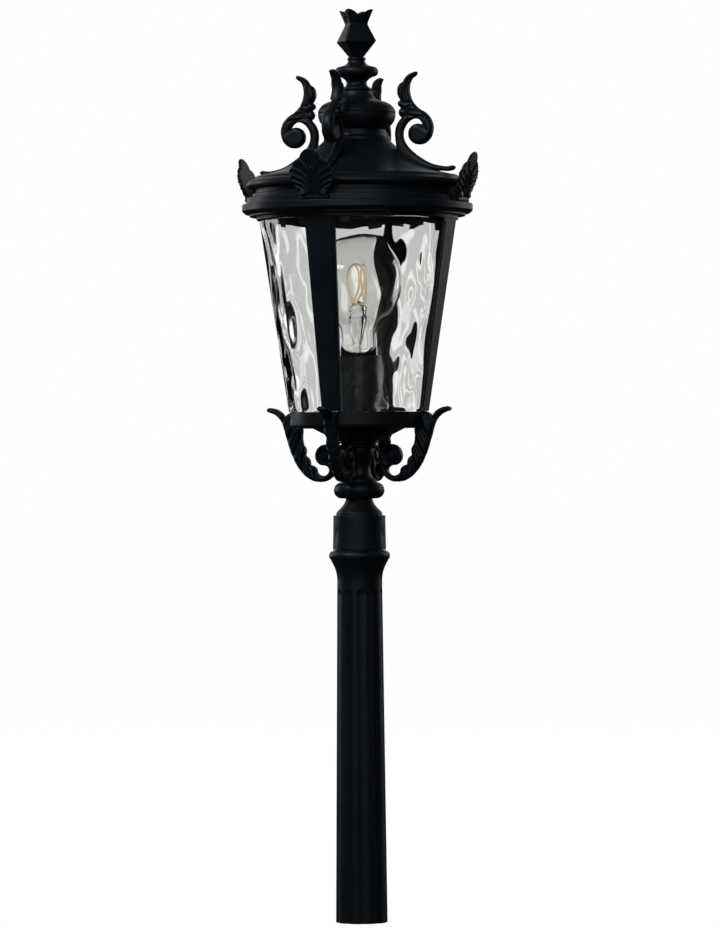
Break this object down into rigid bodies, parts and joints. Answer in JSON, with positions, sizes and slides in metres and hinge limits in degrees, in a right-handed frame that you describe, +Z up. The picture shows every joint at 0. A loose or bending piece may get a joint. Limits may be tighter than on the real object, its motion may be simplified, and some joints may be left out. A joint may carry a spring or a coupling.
{
  "type": "outdoor post light",
  "caption": "Black lantern on a fluted post: tapered water-glass panels, leaf brackets, a scrolled lift-off roof and a screw-on finial around a globe lamp.",
  "frame": {"origin": "centre of the post's sawn foot", "axes": "+Z up the post; the bars, brackets, scrolls and palmettes stand on the X and Y axes"},
  "size_m": [0.2642, 0.2642, 0.9116],
  "materials": {
    "black_paint": "satin black powder coat on cast aluminium",
    "black_screws": "blackened steel",
    "plated_steel": "zinc plated",
    "water_glass": "clear wavy water glass",
    "lamp_glass": "clear blown glass",
    "filament": "amber coated rods",
    "nickel_cap": "nickel plated brass",
    "brass": "plain brass",
    "black_plastic": "moulded black thermoset",
    "ceramic": "white insulator",
    "lead_sleeve": "lead insulation",
    "rubber_seal": "matt"
  },
  "bodies": {
    "post": {"post_shaft": "black_paint", "post_tenon": "plated_steel"},
    "lantern": {"fitter": "black_paint", "stem_collar": "black_paint", "urn": "black_paint", "base_pan": "black_paint", "stem_tube": "plated_steel", "stem_nuts": "plated_steel", "lead_wires": "lead_sleeve", "wire_connector": "lead_sleeve", "top_ring": "black_paint", "roof_gasket": "rubber_seal", "glass_clips": "plated_steel", "bar_screws": "plated_steel", "bracket_screws": "plated_steel", "lampholder_cap": "black_plastic", "lampholder_sleeve": "black_plastic", "lampholder_base": "ceramic", "lampholder_thread": "brass", "lampholder_contact": "brass", "cage_bar_front": "black_paint", "cage_bar_right": "black_paint", "cage_bar_back": "black_paint", "cage_bar_left": "black_paint", "glass_panel_front": "water_glass", "glass_panel_right": "water_glass", "glass_panel_back": "water_glass", "glass_panel_left": "water_glass", "bracket_front": "black_paint", "bracket_right": "black_paint", "bracket_back": "black_paint", "bracket_left": "black_paint"},
    "set_screw_1": {"fitter_set_screw_1": "black_screws"},
    "set_screw_2": {"fitter_set_screw_2": "black_screws"},
    "set_screw_3": {"fitter_set_screw_3": "black_screws"},
    "roof": {"cornice": "black_paint", "roof_shell": "black_paint", "cupola": "black_paint", "finial_stud": "plated_steel", "stud_nuts": "plated_steel", "palmette_screws": "black_screws", "roof_set_screws": "black_screws", "scroll_screws": "plated_steel", "roof_scroll_front": "black_paint", "roof_scroll_right": "black_paint", "roof_scroll_back": "black_paint", "roof_scroll_left": "black_paint", "palmette_front": "black_paint", "palmette_right": "black_paint", "palmette_back": "black_paint", "palmette_left": "black_paint"},
    "finial_washer": {"finial_washer": "black_paint"},
    "finial": {"finial_knob": "black_paint", "finial_crown": "black_paint"},
    "lamp_foot": {"lamp_contact": "black_plastic"},
    "lamp": {"lamp_globe": "lamp_glass", "lamp_cap": "nickel_cap", "lamp_mount": "lamp_glass", "lamp_filaments": "filament"}
  },
  "joints": [
    {"name": "lantern_swivel", "type": "hinge", "parent": "post", "child": "lantern", "pos_m": [0, 0, 0.387], "axis": [0, 0, 1], "range_deg": [-180, 180]},
    {"name": "set_screw_1_travel", "type": "slide", "parent": "lantern", "child": "set_screw_1", "axis": [-0.3746, 0.9272, 0], "range_m": [0, 0.005]},
    {"name": "set_screw_2_travel", "type": "slide", "parent": "lantern", "child": "set_screw_2", "axis": [-0.6157, -0.788, 0], "range_m": [0, 0.005]},
    {"name": "set_screw_3_travel", "type": "slide", "parent": "lantern", "child": "set_screw_3", "axis": [0.9903, -0.1392, 0], "range_m": [0, 0.005]},
    {"name": "roof_lift", "type": "slide", "parent": "lantern", "child": "roof", "axis": [0, 0, 1], "range_m": [0, 0.25]},
    {"name": "finial_rise", "type": "slide", "parent": "roof", "child": "finial_washer", "axis": [0, 0, 1], "range_m": [0, 0.00505]},
    {"name": "finial_turn", "type": "hinge", "parent": "finial_washer", "child": "finial", "pos_m": [0, 0, 0.84], "axis": [0, 0, 1], "range_deg": [0, 1440]},
    {"name": "lamp_rise", "type": "slide", "parent": "lantern", "child": "lamp_foot", "axis": [0, 0, 1], "range_m": [0, 0.01819]},
    {"name": "lamp_turn", "type": "hinge", "parent": "lamp_foot", "child": "lamp", "pos_m": [0, 0, 0.55], "axis": [0, 0, 1], "range_deg": [0, 1800]}
  ],
  "couplings": [
    {"joint": "finial_rise", "follows": "finial_turn", "m_per_rad": 0.00019894},
    {"joint": "lamp_rise", "follows": "lamp_turn", "m_per_rad": 0.00057757}
  ]
}
